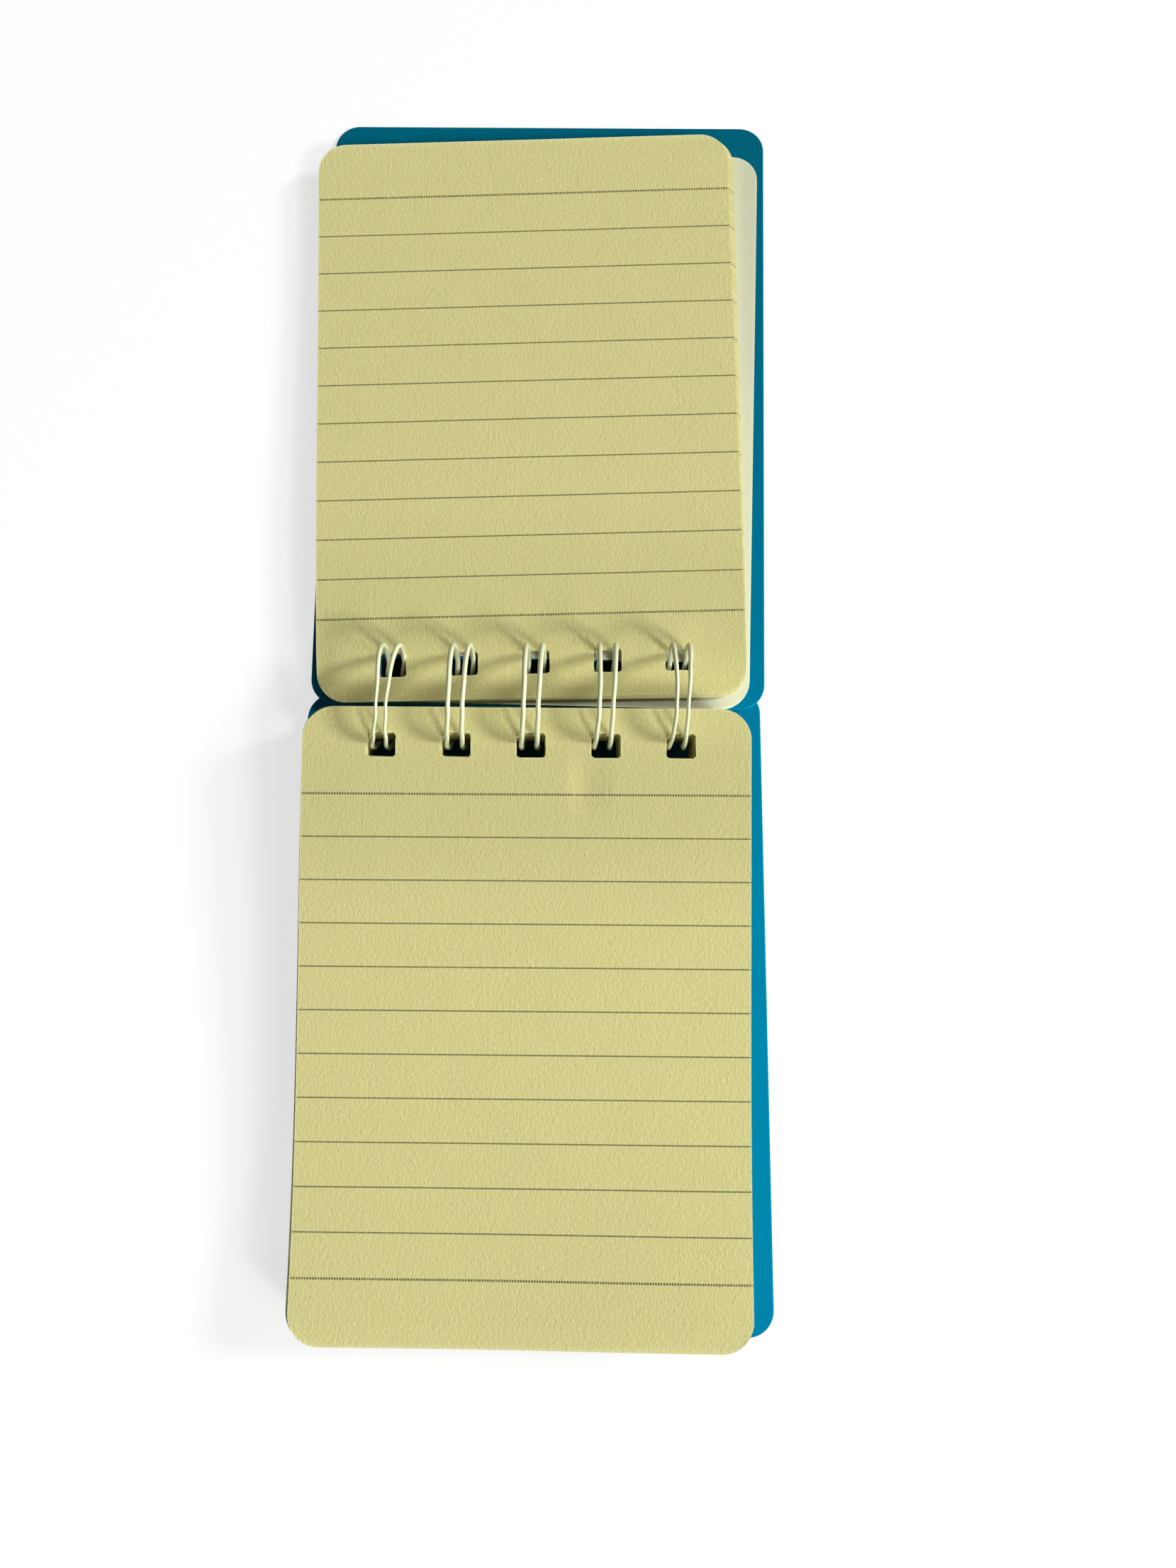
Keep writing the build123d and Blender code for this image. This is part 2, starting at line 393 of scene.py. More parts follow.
def lay_on_row(bm, verts, turn, shift, row):
    """Turn a flat sheet about the middle of its holes and move the row to its place."""
    bmesh.ops.rotate(bm, verts=verts, cent=(0, 0, 0), matrix=Matrix.Rotation(turn, 3, "Z"))
    bmesh.ops.translate(bm, verts=verts, vec=(shift, row, 0))


def heights_of(node, sizes):
    """Function that gives a CAD node's lowest and highest point between two holes, across the rings."""
    solid = bmesh.new()
    solid.from_mesh(frame["nodes"][node].data)
    tree = BVHTree.FromBMesh(solid)
    solid.free()
    low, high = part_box(node)
    line = sizes.loop_pitch / 2
    inset = sizes.hole_margin / 2
    down = Vector((0, 0, -1))

    def heights(y):
        inside = min(max(y, low.y + inset), high.y - inset)
        top = tree.ray_cast(Vector((line, inside, FAR)), down)[0]
        bottom = tree.ray_cast(Vector((line, inside, -FAR)), -down)[0]
        if top is None or bottom is None:
            raise RuntimeError(f"the packed {node} has no paper at y = {inside:.4f} m")
        return bottom.z, top.z

    return heights


def wave(x, y, height, seed):
    """Soft unevenness of paper that has lain about."""
    broad = noise.noise(Vector((x / BROAD_WAVE, y / BROAD_WAVE, seed)))
    small = noise.noise(Vector((x / SMALL_WAVE, y / SMALL_WAVE, seed + 7.3)))
    return height * (0.75 * broad + 0.35 * small)


def add_piece(name, bm, finish, body, slot, *nodes):
    """Make a piece of a finished mesh, dress it, and let it ride on its body in place of its CAD nodes."""
    mesh = bpy.data.meshes.new(name)
    bm.to_mesh(mesh)
    bm.free()
    mesh.materials.append(finish)
    piece = bpy.data.objects.new(name, mesh)
    bpy.context.scene.collection.objects.link(piece)
    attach(piece, body)
    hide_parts(*nodes)


class Finish:
    """Node tree of one finish, with short calls for the nodes that it uses."""

    def __init__(self, name):
        self.material = bpy.data.materials.new(name)
        self.material.use_nodes = True
        self.tree = self.material.node_tree
        self.shader = self.tree.nodes["Principled BSDF"]

    def node(self, kind, inputs, **settings):
        """New node with its settings; its inputs are values or other nodes' outputs."""
        made = self.tree.nodes.new(kind)
        for name, value in settings.items():
            setattr(made, name, value)
        for name, value in inputs.items():
            self.feed(made.inputs[name], value)
        return made

    def feed(self, socket, value):
        """Give an input a value, or link it to an output."""
        if isinstance(value, bpy.types.NodeSocket):
            self.tree.links.new(value, socket)
        elif socket.type == "RGBA":
            socket.default_value = (*value, 1.0)
        else:
            socket.default_value = value

    def own_place(self):
        """Place in the piece's own space, in metres."""
        return self.node("ShaderNodeTexCoord", {}).outputs["Object"]

    def kept(self, name, output):
        """Value that the mesh keeps at each of its points."""
        return self.node("ShaderNodeAttribute", {}, attribute_name=name).outputs[output]

    def sum(self, operation, *values):
        """Result of one arithmetic step."""
        inputs = dict(enumerate(values))
        return self.node("ShaderNodeMath", inputs, operation=operation).outputs[0]

    def step(self, value, low, high):
        """Soft rise from 0 to 1 between two values."""
        inputs = {"Value": value, "From Min": low, "From Max": high}
        made = self.node("ShaderNodeMapRange", inputs, interpolation_type="SMOOTHSTEP", clamp=True)
        return made.outputs["Result"]

    def speckle(self, place, size, detail, stretch=(1, 1, 1)):
        """Cloudy pattern of about a given grain size, in metres, from 0 to 1."""
        scaled = self.node("ShaderNodeMapping", {"Vector": place, "Scale": stretch}).outputs["Vector"]
        inputs = {"Vector": scaled, "Scale": 1.0 / size, "Detail": detail, "Roughness": 0.6}
        return self.node("ShaderNodeTexNoise", inputs).outputs["Fac"]

    def blend(self, share, first, second):
        """Colour between two colours."""
        inputs = {0: share, 6: first, 7: second}
        return self.node("ShaderNodeMix", inputs, data_type="RGBA").outputs[2]

    def bump(self, height, distance, strength, under=None):
        """Surface relief from a height pattern."""
        inputs = {"Height": height, "Distance": distance, "Strength": strength}
        if under is not None:
            inputs["Normal"] = under
        return self.node("ShaderNodeBump", inputs).outputs["Normal"]

    def surface(self, **inputs):
        """Give the shader its inputs."""
        names = {name.replace(" ", "_").lower(): name for name in self.shader.inputs.keys()}
        for name, value in inputs.items():
            self.feed(self.shader.inputs[names[name]], value)
        return self.material


def shade(tint, factor):
    """A colour made darker or lighter."""
    return tuple(min(part * factor, 1.0) for part in tint)


def ruled_paper(sizes, colours):
    """Yellow writing paper with dotted rules, a fibrous grain, painted shade along the bound edge and over a
    stretch beyond it, and cut edges painted lighter as a highlight.
    """
    found = bpy.data.materials.get("ruled_paper")
    if found:
        return found
    finish = Finish("ruled_paper")
    place = finish.kept("leaf_place", "Vector")
    split = finish.node("ShaderNodeSeparateXYZ", {"Vector": place})
    across, along = split.outputs["X"], split.outputs["Y"]

    # Grain of the paper
    fibre = finish.speckle(place, FIBRE_GRAIN, 4, stretch=(1.6, 0.7, 1))
    cockle = finish.speckle(place, COCKLE_GRAIN, 3, stretch=(1.3, 0.8, 1))
    cloud = finish.speckle(place, PAPER_CLOUD, 3)
    fleck = finish.step(finish.speckle(place, FLECK_GRAIN, 2), 0.66, 0.72)
    tone = finish.blend(cloud, shade(colours.paper, 0.93), shade(colours.paper, 1.03))
    tone = finish.blend(finish.step(fibre, 0.35, 0.7), tone, shade(colours.paper, 1.08))
    tone = finish.blend(finish.sum("MULTIPLY", fleck, 0.25), tone, shade(colours.paper, 0.82))

    # Painted shade along the bound edge, and a fainter painted shade over a stretch beyond it, nearer the
    # rings
    inner = finish.step(along, BOUND_SHADE_START, 2.0 * sizes.hole_margin)
    outer = finish.step(along, 4.0 * sizes.hole_margin, 9.0 * sizes.hole_margin)
    bound_shade_share = finish.sum("SUBTRACT", 1.0, inner)
    near_rings_shade = finish.sum("SUBTRACT", inner, outer)
    tone = finish.blend(finish.sum("MULTIPLY", bound_shade_share, 0.12), tone, colours.bound_shade)
    tone = finish.blend(finish.sum("MULTIPLY", near_rings_shade, 0.36), tone, shade(colours.paper, 0.78))

    # Rules, the first and the last in bold dots
    row = finish.sum("DIVIDE", finish.sum("SUBTRACT", along, sizes.rule_first), sizes.rule_pitch)
    nearest = finish.sum("MAXIMUM", finish.sum("ROUND", row), 0.0)
    nearest = finish.sum("MINIMUM", nearest, sizes.rule_count - 1)
    off_rule = finish.sum("ABSOLUTE", finish.sum("SUBTRACT", row, nearest))
    away = finish.sum("MULTIPLY", off_rule, sizes.rule_pitch)
    middle_row = (sizes.rule_count - 1) / 2
    off_middle = finish.sum("ABSOLUTE", finish.sum("SUBTRACT", nearest, middle_row))
    bold = finish.sum("GREATER_THAN", off_middle, middle_row - 0.5)
    thin_ink = dotted_line(finish, across, away, *THIN_RULE)
    bold_ink = dotted_line(finish, across, away, *BOLD_RULE)
    ink = finish.node("ShaderNodeMix", {0: bold, 2: thin_ink, 3: bold_ink}, data_type="FLOAT").outputs[0]
    ink = finish.sum("MULTIPLY", ink, finish.step(fibre, 0.15, 0.5))
    tone = finish.blend(finish.sum("MULTIPLY", ink, 0.9), tone, colours.rule_ink)

    # Cut edges, painted lighter as a highlight where they catch the light
    rim = finish.sum("POWER", finish.kept("leaf_rim", "Fac"), 9.0)
    tone = finish.blend(finish.sum("MULTIPLY", rim, 0.8), tone, colours.paper_edge_highlight)

    relief = finish.bump(fibre, PAPER_RELIEF, 0.8)
    relief = finish.bump(cockle, PAPER_RELIEF, 0.8, relief)
    relief = finish.bump(cloud, CLOUD_RELIEF, 0.15, relief)
    rough = finish.sum("ADD", finish.sum("MULTIPLY", cloud, 0.1), 0.8)
    return finish.surface(base_color=tone, roughness=rough, normal=relief, specular_ior_level=0.25)


def dotted_line(finish, across, away, pitch, thickness, filled):
    """Ink of a row of dots: how dark it is at a distance along the row and away from it."""
    phase = finish.sum("FRACT", finish.sum("DIVIDE", across, pitch))
    from_dot = finish.sum("MULTIPLY", finish.sum("ABSOLUTE", finish.sum("SUBTRACT", phase, 0.5)), 2.0)
    dot = finish.sum("SUBTRACT", 1.0, finish.step(from_dot, filled - 0.2, filled + 0.2))
    line = finish.sum("SUBTRACT", 1.0, finish.step(away, 0.3 * thickness, 0.7 * thickness))
    return finish.sum("MULTIPLY", dot, line)


def white_board(sizes, colours):
    """Smooth white card with a faint grey cloud, painted shade along its bound edge that fades out towards
    its right side, and cut edges painted lighter as a highlight.
    """
    finish = Finish("white_board")
    place = finish.kept("leaf_place", "Vector")
    cloud = finish.speckle(place, CARD_CLOUD, 3)
    fibre = finish.speckle(place, FIBRE_GRAIN, 4, stretch=(1, 1.8, 1))
    tone = finish.blend(cloud, shade(colours.card, 0.94), shade(colours.card, 1.04))
    streak = finish.sum("MULTIPLY", finish.step(fibre, 0.4, 0.75), 0.3)
    tone = finish.blend(streak, tone, shade(colours.card, 0.9))
    # Painted shade along the card's bound edge, fading out towards its right side
    split = finish.node("ShaderNodeSeparateXYZ", {"Vector": place})
    away = finish.step(split.outputs["Y"], 0.0, 2.0 * sizes.hole_margin)
    beside = finish.step(split.outputs["X"], 0.32 * sizes.card_width, 0.48 * sizes.card_width)
    bound_shade_share = finish.sum("SUBTRACT", 1.0, finish.sum("MAXIMUM", away, beside))
    tone = finish.blend(bound_shade_share, tone, colours.card_bound_shade)
    # Painted highlight: the card's cut edges are painted lighter, as where they catch the light
    rim = finish.sum("POWER", finish.kept("leaf_rim", "Fac"), 9.0)
    tone = finish.blend(finish.sum("MULTIPLY", rim, 0.7), tone, shade(colours.card, 1.2))
    relief = finish.bump(fibre, CARD_RELIEF, 0.35)
    rough = finish.sum("ADD", finish.sum("MULTIPLY", fibre, 0.15), 0.55)
    return finish.surface(base_color=tone, roughness=rough, normal=relief, specular_ior_level=0.4)


def satin_plastic(colours):
    """Satin blue sheet: fine grain, faint scuffs, painted shade on the hole walls and towards the front
    cover's far end, and outer edges painted lighter as a glow of light coming through.
    """
    finish = Finish("satin_plastic")
    place = finish.own_place()
    grain = finish.speckle(place, COVER_GRAIN, 3)
    cloud = finish.speckle(place, COVER_CLOUD, 3)
    scuff = finish.step(finish.speckle(place, SCUFF_GRAIN, 4, stretch=(1, 0.06, 1)), 0.6, 0.75)
    facing = finish.node("ShaderNodeTexCoord", {}).outputs["Normal"]
    upright = finish.sum("ABSOLUTE", finish.node("ShaderNodeSeparateXYZ", {"Vector": facing}).outputs["Z"])
    edge = finish.sum("SUBTRACT", 1.0, finish.step(upright, 0.35, 0.97))
    split = finish.node("ShaderNodeSeparateXYZ", {"Vector": place})
    beyond = beyond_holes(finish, split)
    # Painted shade: the walls of the holes in the covers are painted dark
    punched = finish.sum("MULTIPLY", edge, finish.sum("SUBTRACT", 1.0, beyond))
    from_axis = finish.sum("ABSOLUTE", split.outputs["Y"])
    punched = finish.sum("MULTIPLY", punched, finish.step(from_axis, HOLE_START, 1.5 * HOLE_START))
    # Painted glow: outer edges away from the holes are painted a lighter blue, as if light came through them
    edge = finish.sum("MULTIPLY", edge, beyond)
    tone = finish.blend(cloud, shade(colours.cover, 0.93), shade(colours.cover, 1.07))
    # Painted shade: the blue deepens across the rings towards the front cover's far end
    tone = finish.blend(finish.step(split.outputs["Y"], *COVER_SHADE_FADE), tone, colours.cover_far_shade)
    tone = finish.blend(finish.sum("MULTIPLY", scuff, 0.12), tone, shade(colours.cover, 1.3))
    tone = finish.blend(punched, tone, shade(colours.cover, 0.2))
    tone = finish.blend(edge, tone, colours.cover_edge_highlight)
    relief = finish.bump(grain, COVER_RELIEF, 0.4)
    rough = finish.sum("ADD", finish.sum("MULTIPLY", scuff, 0.12), finish.sum("MULTIPLY", grain, 0.1))
    rough = finish.sum("ADD", rough, 0.36)
    finish.surface(specular_ior_level=0.06, specular_tint=(0.1, 0.7, 1.0))
    return finish.surface(base_color=tone, roughness=rough, normal=relief)


def beyond_holes(finish, split):
    """1 outside the strip that the row of holes takes up, 0 inside it."""
    ways = [finish.sum("ABSOLUTE", split.outputs[axis]) for axis in ("X", "Y")]
    beyond = [finish.step(way, 0.8 * half, half) for way, half in zip(ways, HOLE_STRIP)]
    return finish.sum("MAXIMUM", *beyond)


def coated_wire(colours):
    """Cream coating with small runs and knocks."""
    finish = Finish("coated_wire")
    place = finish.own_place()
    run = finish.speckle(place, WIRE_RUN, 3)
    knock = finish.step(finish.speckle(place, WIRE_KNOCK, 2), 0.68, 0.74)
    tone = finish.blend(run, shade(colours.wire, 0.95), shade(colours.wire, 1.05))
    tone = finish.blend(finish.sum("MULTIPLY", knock, 0.35), tone, shade(colours.wire, 0.7))
    relief = finish.bump(run, RUN_RELIEF, 0.3)
    relief = finish.bump(knock, KNOCK_RELIEF, 0.4, relief)
    rough = finish.sum("ADD", finish.sum("MULTIPLY", run, 0.15), 0.3)
    return finish.surface(base_color=tone, roughness=rough, normal=relief)


class NOTEPAD_OT_wire(bpy.types.Operator):
    """Bend the twin-loop wire from one run of coated wire"""

    bl_idname = "notepad.wire"
    bl_label = "Twin-loop wire"

    def execute(self, context):
        sizes = context.scene.notepad_sizes
        bm = bend_wire(sizes)
        lean_loops(bm, sizes, context.scene.notepad_lay)
        for face in bm.faces:
            face.smooth = True
        finish = coated_wire(context.scene.notepad_colours)
        add_piece("coated_loops", bm, finish, "base", "coated_wire", "twin_loop_wire")
        return {"FINISHED"}


def ring_directions(turn):
    """Directions out of the ring and along it at an angle from +Y."""
    out = Vector((0, math.cos(turn), math.sin(turn)))
    along = Vector((0, -math.sin(turn), math.cos(turn)))
    return out, along


def carry(bm, end, middle, axis, turn, steps, move=Vector((0, 0, 0))):
    """Draw the wire's end round an axis, or along a straight move, and give back its new end."""
    made = bmesh.ops.spin(
        bm, geom=end, cent=middle, axis=axis, angle=turn, steps=steps, dvec=move / steps, use_duplicate=False
    )
    return made["geom_last"]


def bend_wire(sizes):
    """One run of wire with a hairpin for every loop, rolled into rings."""
    lengthwise = Vector((1, 0, 0))
    half_spread = sizes.loop_spread / 2
    bridge = sizes.loop_pitch - sizes.loop_spread - 2 * sizes.root_bend
    around = sizes.root_angle - (sizes.tip_angle - 2 * math.pi)
    root_out, root_along = ring_directions(sizes.root_angle)
    tip_out, tip_along = ring_directions(sizes.tip_angle)
    root = RING_AXIS + root_out * sizes.ring_radius
    tip = RING_AXIS + tip_out * sizes.ring_radius

    bm = bmesh.new()
    start = root + lengthwise * (hole_middles(sizes)[0] - half_spread)
    turned = Matrix((lengthwise, root_out, root_along)).transposed().to_4x4()
    bmesh.ops.create_circle(
        bm, segments=WIRE_SIDES, radius=sizes.wire_diameter / 2, matrix=Matrix.Translation(start) @ turned
    )
    end = bm.verts[:] + bm.edges[:]
    for loop, middle in enumerate(hole_middles(sizes)):
        end = carry(bm, end, RING_AXIS, lengthwise, -around, RING_STEPS)
        end = carry(bm, end, tip + lengthwise * middle, tip_out, -math.pi, BEND_STEPS)
        end = carry(bm, end, RING_AXIS, lengthwise, around, RING_STEPS)
        if loop < sizes.loop_count - 1:
            foot = root + lengthwise * (middle + half_spread + sizes.root_bend)
            end = carry(bm, end, foot, root_out, math.pi / 2, BEND_STEPS)
            end = carry(bm, end, foot, root_out, 0.0, 2, lengthwise * bridge)
            end = carry(bm, end, foot + lengthwise * bridge, root_out, math.pi / 2, BEND_STEPS)
    bmesh.ops.holes_fill(bm, edges=[edge for edge in bm.edges if edge.is_boundary], sides=0)
    bmesh.ops.recalc_face_normals(bm, faces=bm.faces[:])
    return bm


# Share of a loop's lean at angles round the ring, from the tips under the pad to the feet
LEAN_ANGLES = (-136, -100, -55, -30, 35, 80, 115, 145, 175, 200, 224)
LEAN_SHARES = (-0.3, -0.1, 0.3, 0.85, 1.0, 1.0, 0.6, 0.0, -0.6, -0.6, -0.3)
FOOT_ANGLE = math.radians(LEAN_ANGLES[0])


def lean_share(turn):
    """Share of a loop's lean at an angle round the ring."""
    degrees = math.degrees(turn)
    share = LEAN_SHARES[0]
    for start, stop, change in zip(LEAN_ANGLES, LEAN_ANGLES[1:], zip(LEAN_SHARES, LEAN_SHARES[1:])):
        share += (change[1] - change[0]) * smooth(start, stop, degrees)
    return share


def lean_loops(bm, sizes, lay):
    """Let each loop lean, slide, close up and dip a little, as on a pad that is in use."""
    last = sizes.loop_count - 1
    for vert in bm.verts:
        turn = math.atan2(vert.co.z - RING_AXIS.z, vert.co.y)
        if turn < FOOT_ANGLE:
            turn += 2 * math.pi
        place = vert.co.x / sizes.loop_pitch + last / 2
        near = min(max(math.floor(place), 0), last - 1)
        share = smooth(0.2, 0.8, place - near)
        lean, shift, pinch, dip = (
            row[near] * (1 - share) + row[near + 1] * share
            for row in (lay.loop_leans, lay.loop_shifts, lay.loop_pinches, lay.loop_dips)
        )
        pressed = pinch * max(0.0, math.cos(turn - lay.pinch_angle)) ** 2
        middle = (round(place) - last / 2) * sizes.loop_pitch
        off_dip = min(abs(2 * (turn - lay.dip_angle)), math.pi / 2)
        vert.co -= ring_directions(turn)[0] * dip * math.cos(off_dip) ** 2
        vert.co.x = middle + (vert.co.x - middle) * (1 - pressed) + shift + lean * lean_share(turn)


class NOTEPAD_OT_page_block(bpy.types.Operator):
    """Stack the leaves that are not turned, with the top page uppermost"""

    bl_idname = "notepad.page_block"
    bl_label = "Page block"

    def execute(self, context):
        sizes, lay = context.scene.notepad_sizes, context.scene.notepad_lay
        chance = random.Random(11)
        heights = heights_of("page_block", sizes)
        inner = kept_sheet("inner_leaf", flat_leaf(sizes, -1, BLOCK_STEP, BLOCK_STEP, chance))
        top = kept_sheet("top_leaf", flat_leaf(sizes, -1, FINE_STEP, WIDE_STEP, chance))
        stack = bmesh.new()
        for number in range(sizes.block_leaves):
            before = len(stack.verts)
            stack.from_mesh(top if number == sizes.block_leaves - 1 else inner)
            stack.verts.ensure_lookup_table()
            lay_block_leaf(stack, stack.verts[before:], number, sizes, lay, heights, chance)
        for sheet in (inner, top):
            bpy.data.meshes.remove(sheet)
        thicken(stack, sizes.leaf_thickness)
        finish = ruled_paper(sizes, context.scene.notepad_colours)
        add_piece("page_block_leaves", stack, finish, "base", "yellow_paper", "page_block")
        return {"FINISHED"}


def kept_sheet(name, bm):
    """A flat sheet kept as a mesh, so that it can be laid many times."""
    sheet = bpy.data.meshes.new(name)
    bm.to_mesh(sheet)
    bm.free()
    return sheet


def lay_block_leaf(bm, verts, number, sizes, lay, heights, chance):
    """Lay one leaf of the block at its place in the stack."""
    share = (number + 1) / sizes.block_leaves
    turn, row, shift = lay.block_turn, lay.block_row, lay.block_shift
    if number < sizes.block_leaves - 1:
        turn = lay.block_under_turn + chance.uniform(-lay.block_fan, lay.block_fan)
        row += chance.uniform(-lay.block_stray, lay.block_stray)
        shift += chance.uniform(-lay.block_stray, lay.block_stray) - lay.block_lean * (1 - share)
    lay_on_row(bm, verts, turn, shift, row)
    place = bm.verts.layers.float_vector["leaf_place"]
    for vert in verts:
        bottom, top = heights(vert.co.y)
        uneven = wave(vert.co.x, vert.co.y, lay.page_wave, 3.1) + page_dent(vert[place], sizes, lay)
        uneven += corner_rise(vert[place], sizes, lay)
        vert.co.z = bottom + (top - bottom) * share + uneven * share**3


def corner_rise(place, sizes, lay):
    """Soft rise of the upper pages towards their far right corner."""
    across = smooth(-0.2 * sizes.leaf_width, 0.5 * sizes.leaf_width, place.x)
    return lay.corner_lift * across * smooth(0.55 * sizes.leaf_length, sizes.leaf_length, place.y)


def page_dent(place, sizes, lay):
    """Soft upright dent in the upper pages beside the fourth hole, as a rise below zero."""
    reach = place.y - hole_offset(sizes)
    beside = place.x - (hole_middles(sizes)[DENT_HOLE] - DENT_ASIDE)
    across = smooth(*DENT_STEEP_SIDE, beside) * (1 - smooth(*DENT_SOFT_SIDE, beside))
    return -lay.dent_height * across * math.exp(-(((reach - DENT_BELOW) / DENT_HALF_LENGTH) ** 2))


class NOTEPAD_OT_turned_leaves(bpy.types.Operator):
    """Lay the leaves that are turned over, one on the other"""

    bl_idname = "notepad.turned_leaves"
    bl_label = "Turned leaves"

    def execute(self, context):
        sizes, lay = context.scene.notepad_sizes, context.scene.notepad_lay
        heights = heights_of("turned_leaves", sizes)
        finish = ruled_paper(sizes, context.scene.notepad_colours)
        chance = random.Random(5)
        count = len(lay.turned_turns)
        for number in range(count):
            bm = flat_leaf(sizes, 1, FINE_STEP, WIDE_STEP, chance)
            row = lay.turned_row - lay.turned_set_backs[number]
            lay_on_row(bm, bm.verts[:], lay.turned_turns[number], lay.turned_shifts[number], row)
            place = bm.verts.layers.float_vector["leaf_place"]
            for vert in bm.verts:
                bottom, top = heights(vert.co.y)
                uneven = wave(vert.co.x, vert.co.y, lay.page_wave, 9.4) + hole_folds(vert.co, sizes, lay)
                uneven -= lay.turned_droop * (1 - smooth(0.0, 1.6 * hole_offset(sizes), vert[place].y))
                vert.co.z = bottom + (top - bottom) * (number + 1) / count + uneven
            thicken(bm, sizes.leaf_thickness)
            add_piece(f"turned_leaf_{number + 1}", bm, finish, "front_half", "yellow_paper", "turned_leaves")
        return {"FINISHED"}


def hole_folds(point, sizes, lay):
    """Lift of the turned leaves along the slanting folds that the wire has pulled beside the holes."""
    row_middle = Vector((lay.turned_shifts[2], lay.turned_row))
    from_row = Matrix.Rotation(-lay.turned_turns[2], 2) @ (point.xy - row_middle)
    down = Vector((math.cos(lay.fold_angle), math.sin(lay.fold_angle)))
    out = Vector((down.y, -down.x))
    lift = 0.0
    for middle in hole_middles(sizes):
        from_corner = from_row - Vector((middle - sizes.hole_width / 2, sizes.hole_height / 2))
        along, beside = from_corner.dot(down), from_corner.dot(out)
        fade = smooth(-0.5 * lay.fold_length, 0.0, along)
        fade *= 1 - smooth(0.3 * lay.fold_length, lay.fold_length, along)
        half_width = lay.fold_width * (0.2 + 0.3 * smooth(0.0, 0.6 * lay.fold_length, along))
        rise = smooth(-half_width, half_width, beside)
        fall = 1 - smooth(half_width, 0.8 * lay.fold_length, beside)
        lift += lay.fold_height * fade * rise * fall
    return lift


class NOTEPAD_OT_white_card(bpy.types.Operator):
    """Lay the white card on the front cover, curled up along its right edge"""

    bl_idname = "notepad.white_card"
    bl_label = "White card"

    def execute(self, context):
        sizes, lay = context.scene.notepad_sizes, context.scene.notepad_lay
        heights = heights_of("white_card", sizes)
        chance = random.Random(2)
        bm = flat_sheet(sizes, sizes.card_width, sizes.card_row_shift, 1, 2 * FINE_STEP, WIDE_STEP, chance)
        lay_on_row(bm, bm.verts[:], lay.card_turn, lay.card_shift, lay.card_row)
        place = bm.verts.layers.float_vector["leaf_place"]
        right = sizes.card_width / 2 - sizes.card_row_shift
        for vert in bm.verts:
            across = max(0.0, 1 - (right - vert[place].x) / lay.card_curl_width)
            down_length = 0.2 + 0.8 * smooth(0.0, sizes.leaf_length, vert[place].y)
            vert.co.z = heights(vert.co.y)[1] + lay.card_curl * down_length * across * across
        thicken(bm, sizes.card_thickness)
        finish = white_board(sizes, context.scene.notepad_colours)
        add_piece("white_card_sheet", bm, finish, "front_half", "white_card", "white_card")
        return {"FINISHED"}


class NOTEPAD_OT_covers(bpy.types.Operator):
    """Give the two plastic covers their satin finish"""

    bl_idname = "notepad.covers"
    bl_label = "Covers"

    def execute(self, context):
        finish = satin_plastic(context.scene.notepad_colours)
        for node in ("front_cover", "back_cover"):
            cover = frame["nodes"][node]
            cover.data.materials.clear()
            cover.data.materials.append(finish)
        return {"FINISHED"}


class NOTEPAD_OT_stage(bpy.types.Operator):
    """Set up the pale table, the soft light from the right and the camera above"""

    bl_idname = "notepad.stage"
    bl_label = "Stage"

    def execute(self, context):
        lay_table(context.scene.notepad_colours)
        hang_lamps()
        fill_room()
        place_camera()
        context.scene.view_settings.view_transform = "Standard"
        return {"FINISHED"}


TABLE_SIZE = 4.0
WINDOW_SPREAD = math.radians(11.5)
WINDOW_HEIGHT_ANGLES = (math.radians(30.0), math.radians(38.0))
WINDOW_SIDE_ANGLES = (math.radians(16.0), math.radians(-38.0))
WINDOW_LIGHTS = (0.39, 0.28)
FILL_LIGHT = 0.27
ROOM_LIGHT = 0.08
FILL_PLACE = Vector((380.0, -310.0, 520.0)) * MM
FILL_AIM = Vector((0.0, -60.0, 0.0)) * MM
FILL_SIZE = 400.0 * MM
TABLE_GLOW = 0.71
# Gaps under the pad: how far they are felt, and the open shares between which the table goes from painted
# shade to its full colour and glow
GAP_REACH = 20.0 * MM
GAP_SAMPLES = 16
GAP_SHARES = (0.3, 0.5)

# Camera as the photograph was taken: long side 2212 of 1659 x 2212 pixels
PHOTO_LONG_SIDE = 2212
FOCUS_PIXELS = 1655.7
SENSOR = 36.0
CAMERA_NEAR = 10.0 * MM
CAMERA_PLACE = Vector((12.54, -35.88, 209.37)) * MM
CAMERA_TILT = math.radians(5.914)
CAMERA_SWING = math.radians(0.80)
CAMERA_ROLL = math.radians(0.087)


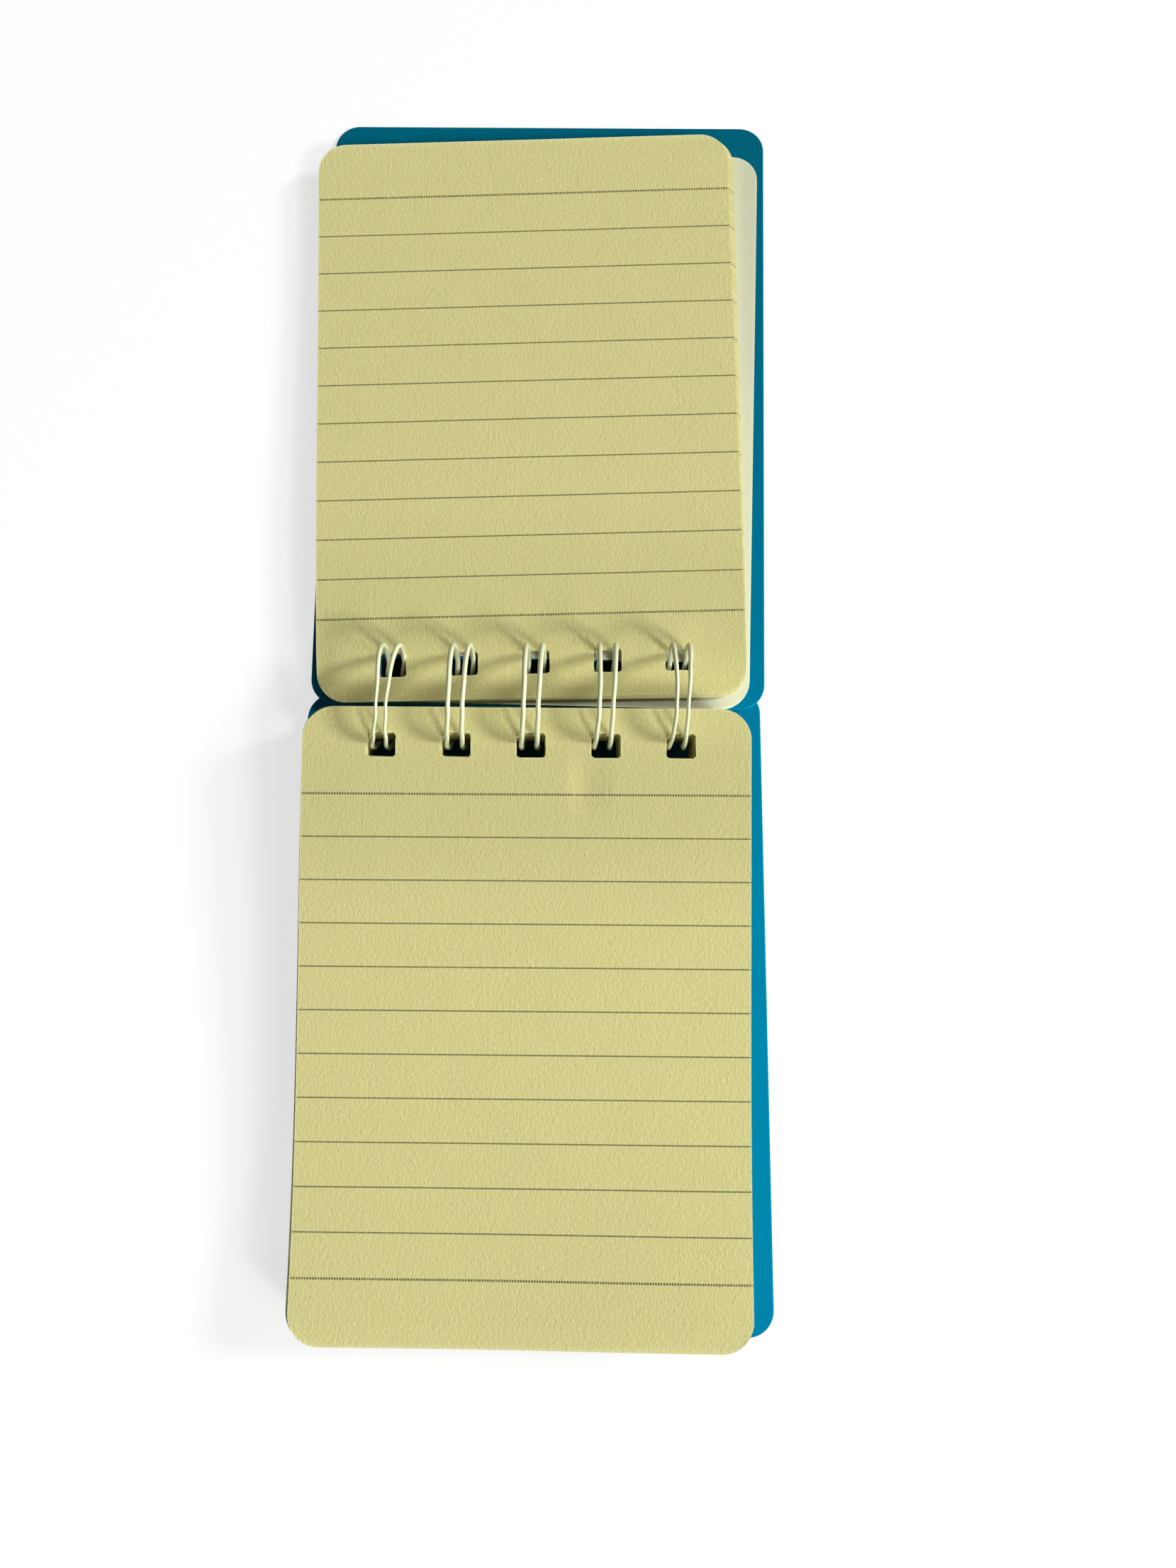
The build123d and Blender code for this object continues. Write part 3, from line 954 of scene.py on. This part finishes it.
def lay_table(colours):
    """Pale table that looks white and keeps a faint shadow; right under the pad it is painted dark as shade.
    """
    bm = bmesh.new()
    bmesh.ops.create_grid(bm, x_segments=1, y_segments=1, size=TABLE_SIZE / 2)
    mesh = bpy.data.meshes.new("table")
    bm.to_mesh(mesh)
    bm.free()
    table = bpy.data.objects.new("table", mesh)
    bpy.context.scene.collection.objects.link(table)
    finish = Finish("pale_table")
    path = finish.node("ShaderNodeLightPath", {})
    seen = finish.sum("MAXIMUM", path.outputs["Is Camera Ray"], path.outputs["Is Glossy Ray"])
    seen = finish.sum("MAXIMUM", seen, path.outputs["Is Transmission Ray"])
    gap = finish.node("ShaderNodeAmbientOcclusion", {"Distance": GAP_REACH}, samples=GAP_SAMPLES)
    free = finish.step(gap.outputs["AO"], *GAP_SHARES)
    glow = finish.sum("MULTIPLY", finish.sum("MULTIPLY", seen, free), TABLE_GLOW)
    # Painted shade: under the pad the table's colour is painted darker and its glow is taken away
    tone = finish.blend(free, shade(colours.floor, 0.15), colours.floor)
    finish.surface(base_color=tone, roughness=0.9, specular_ior_level=0.0)
    finish.surface(emission_color=(1, 1, 1), emission_strength=glow)
    mesh.materials.append(finish.material)


def hang_lamps():
    """Two soft, far, window-like lamps at the right, and a weaker broad panel at the near right."""
    for height, side, light in zip(WINDOW_HEIGHT_ANGLES, WINDOW_SIDE_ANGLES, WINDOW_LIGHTS):
        window = bpy.data.lights.new("window", "SUN")
        window.angle = WINDOW_SPREAD
        window.energy = math.pi * light / math.sin(height)
        towards = Euler((0, -height, side)).to_matrix() @ Vector((1, 0, 0))
        hang(window, towards, towards)

    panel = bpy.data.lights.new("panel", "AREA")
    panel.shape = "DISK"
    panel.size = FILL_SIZE
    towards = FILL_PLACE - FILL_AIM
    falling = math.pi * FILL_LIGHT / towards.normalized().z
    panel.energy = falling * math.pi * towards.length_squared
    hang(panel, FILL_PLACE, towards)


def hang(lamp, place, towards):
    """Hang a lamp at its place, shining back along the direction towards it."""
    holder = bpy.data.objects.new(lamp.name, lamp)
    holder.matrix_world = Matrix.Translation(place) @ towards.to_track_quat("Z", "Y").to_matrix().to_4x4()
    bpy.context.scene.collection.objects.link(holder)


def fill_room():
    """Even light from the room, with a white view beyond the table."""
    world = bpy.data.worlds.new("room")
    world.use_nodes = True
    nodes, links = world.node_tree.nodes, world.node_tree.links
    background = nodes["Background"]
    background.inputs["Color"].default_value = (1, 1, 1, 1)
    path = nodes.new("ShaderNodeLightPath")
    strength = nodes.new("ShaderNodeMix")
    links.new(path.outputs["Is Camera Ray"], strength.inputs[0])
    strength.inputs[2].default_value = ROOM_LIGHT
    strength.inputs[3].default_value = 1.0
    links.new(strength.outputs[0], background.inputs["Strength"])
    bpy.context.scene.world = world


def place_camera():
    """Camera straight above, tilted a little towards the turned side."""
    data = bpy.data.cameras.new("camera")
    data.sensor_width = SENSOR
    data.lens = SENSOR * FOCUS_PIXELS / PHOTO_LONG_SIDE
    data.clip_start = CAMERA_NEAR
    camera = bpy.data.objects.new("camera", data)
    turned = Euler((CAMERA_TILT, CAMERA_SWING, CAMERA_ROLL), "ZYX").to_matrix().to_4x4()
    camera.matrix_world = Matrix.Translation(CAMERA_PLACE) @ turned
    bpy.context.scene.collection.objects.link(camera)
    bpy.context.scene.camera = camera


class NOTEPAD_PT_pieces(bpy.types.Panel):
    """Pieces, sizes and colours of the notepad"""

    bl_idname = "NOTEPAD_PT_pieces"
    bl_label = "Notepad"
    bl_space_type = "VIEW_3D"
    bl_region_type = "UI"
    bl_category = "Notepad"

    def draw(self, context):
        layout = self.layout
        for operator in OPERATORS:
            layout.operator(operator.bl_idname)
        for label, group in (
            ("Sizes", context.scene.notepad_sizes),
            ("Lay", context.scene.notepad_lay),
            ("Colours", context.scene.notepad_colours),
        ):
            box = layout.box()
            box.label(text=label)
            for name in group.__annotations__:
                box.prop(group, name)


GROUPS = (NotepadSizes, NotepadLay, NotepadColours)
OPERATORS = (
    NOTEPAD_OT_covers,
    NOTEPAD_OT_white_card,
    NOTEPAD_OT_turned_leaves,
    NOTEPAD_OT_page_block,
    NOTEPAD_OT_wire,
    NOTEPAD_OT_stage,
)
CLASSES = (*GROUPS, *OPERATORS, NOTEPAD_PT_pieces)


def register():
    for cls in CLASSES:
        bpy.utils.register_class(cls)
    bpy.types.Scene.notepad_sizes = PointerProperty(type=NotepadSizes)
    bpy.types.Scene.notepad_lay = PointerProperty(type=NotepadLay)
    bpy.types.Scene.notepad_colours = PointerProperty(type=NotepadColours)


def unregister():
    del bpy.types.Scene.notepad_colours
    del bpy.types.Scene.notepad_lay
    del bpy.types.Scene.notepad_sizes
    for cls in reversed(CLASSES):
        bpy.utils.unregister_class(cls)


def main():
    """Build every piece in order."""
    register()
    bpy.ops.notepad.covers()
    bpy.ops.notepad.white_card()
    bpy.ops.notepad.turned_leaves()
    bpy.ops.notepad.page_block()
    bpy.ops.notepad.wire()
    bpy.ops.notepad.stage()


if __name__ == "__main__":
    main()
